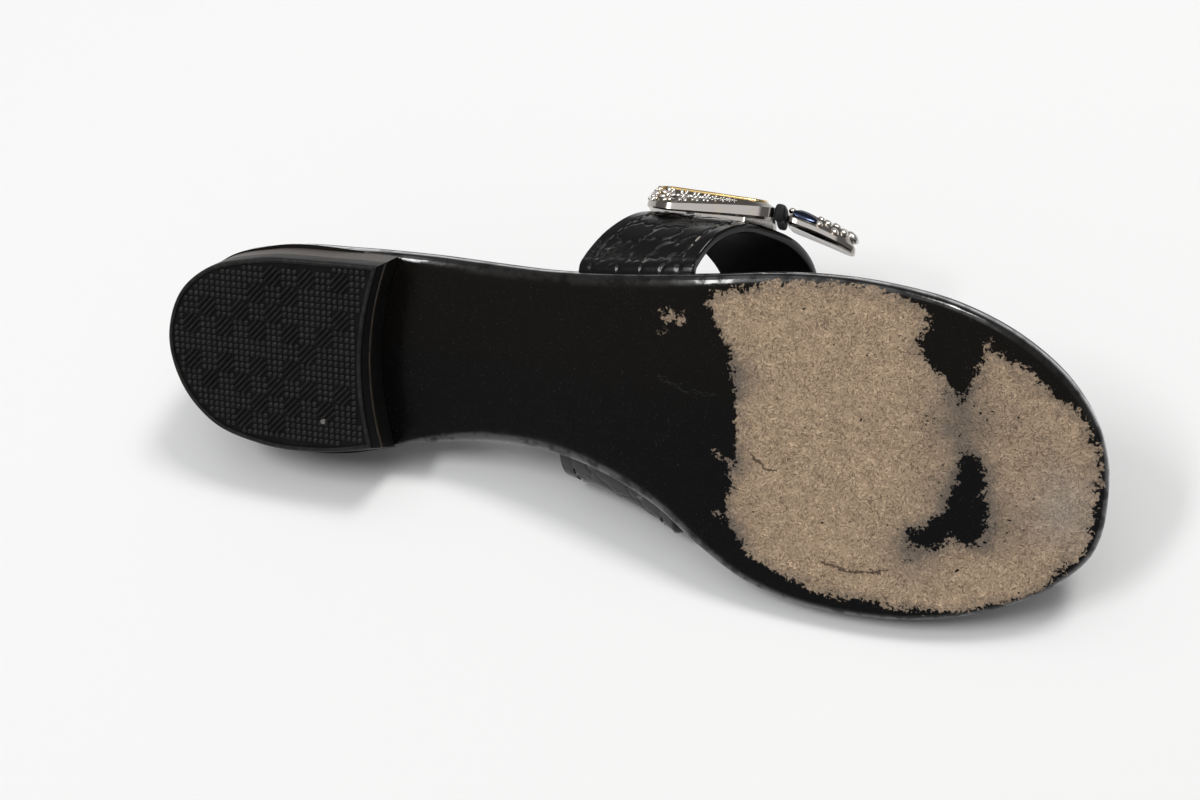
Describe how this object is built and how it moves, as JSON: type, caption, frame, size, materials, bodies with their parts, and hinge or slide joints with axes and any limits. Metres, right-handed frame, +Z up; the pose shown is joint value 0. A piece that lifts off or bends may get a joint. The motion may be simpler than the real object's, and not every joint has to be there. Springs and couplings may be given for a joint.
{
  "type": "slide sandal",
  "caption": "Flat slide sandal for the right foot, lying on its inner side: leather sole with a low heel, one wide slack strap and a metal buckle ornament on the strap's outer shoulder.",
  "frame": {"origin": "on the floor, below the middle of the shoe's box as it lies on its inner side", "axes": "+X from heel to toe along the floor, +Z up, -Y the side that the sole faces"},
  "size_m": [0.2606, 0.0996, 0.0685],
  "materials": {
    "sole_leather": "satin black, worn to bare tan at the forefoot",
    "heel_stack": "matt dark brown",
    "heel_rubber": "matt, with a dotted and ridged tread",
    "insole_leather": "smooth black",
    "strap_leather": "glossy black, embossed",
    "silver_metal": "polished, engraved"
  },
  "bodies": {
    "root": {"outsole": "sole_leather", "heel_block": "heel_stack", "top_piece": "heel_rubber", "insole": "insole_leather", "strap": "strap_leather", "buckle_rear": "silver_metal", "buckle_front": "silver_metal", "buckle_wrap": "strap_leather"}
  },
  "joints": []
}
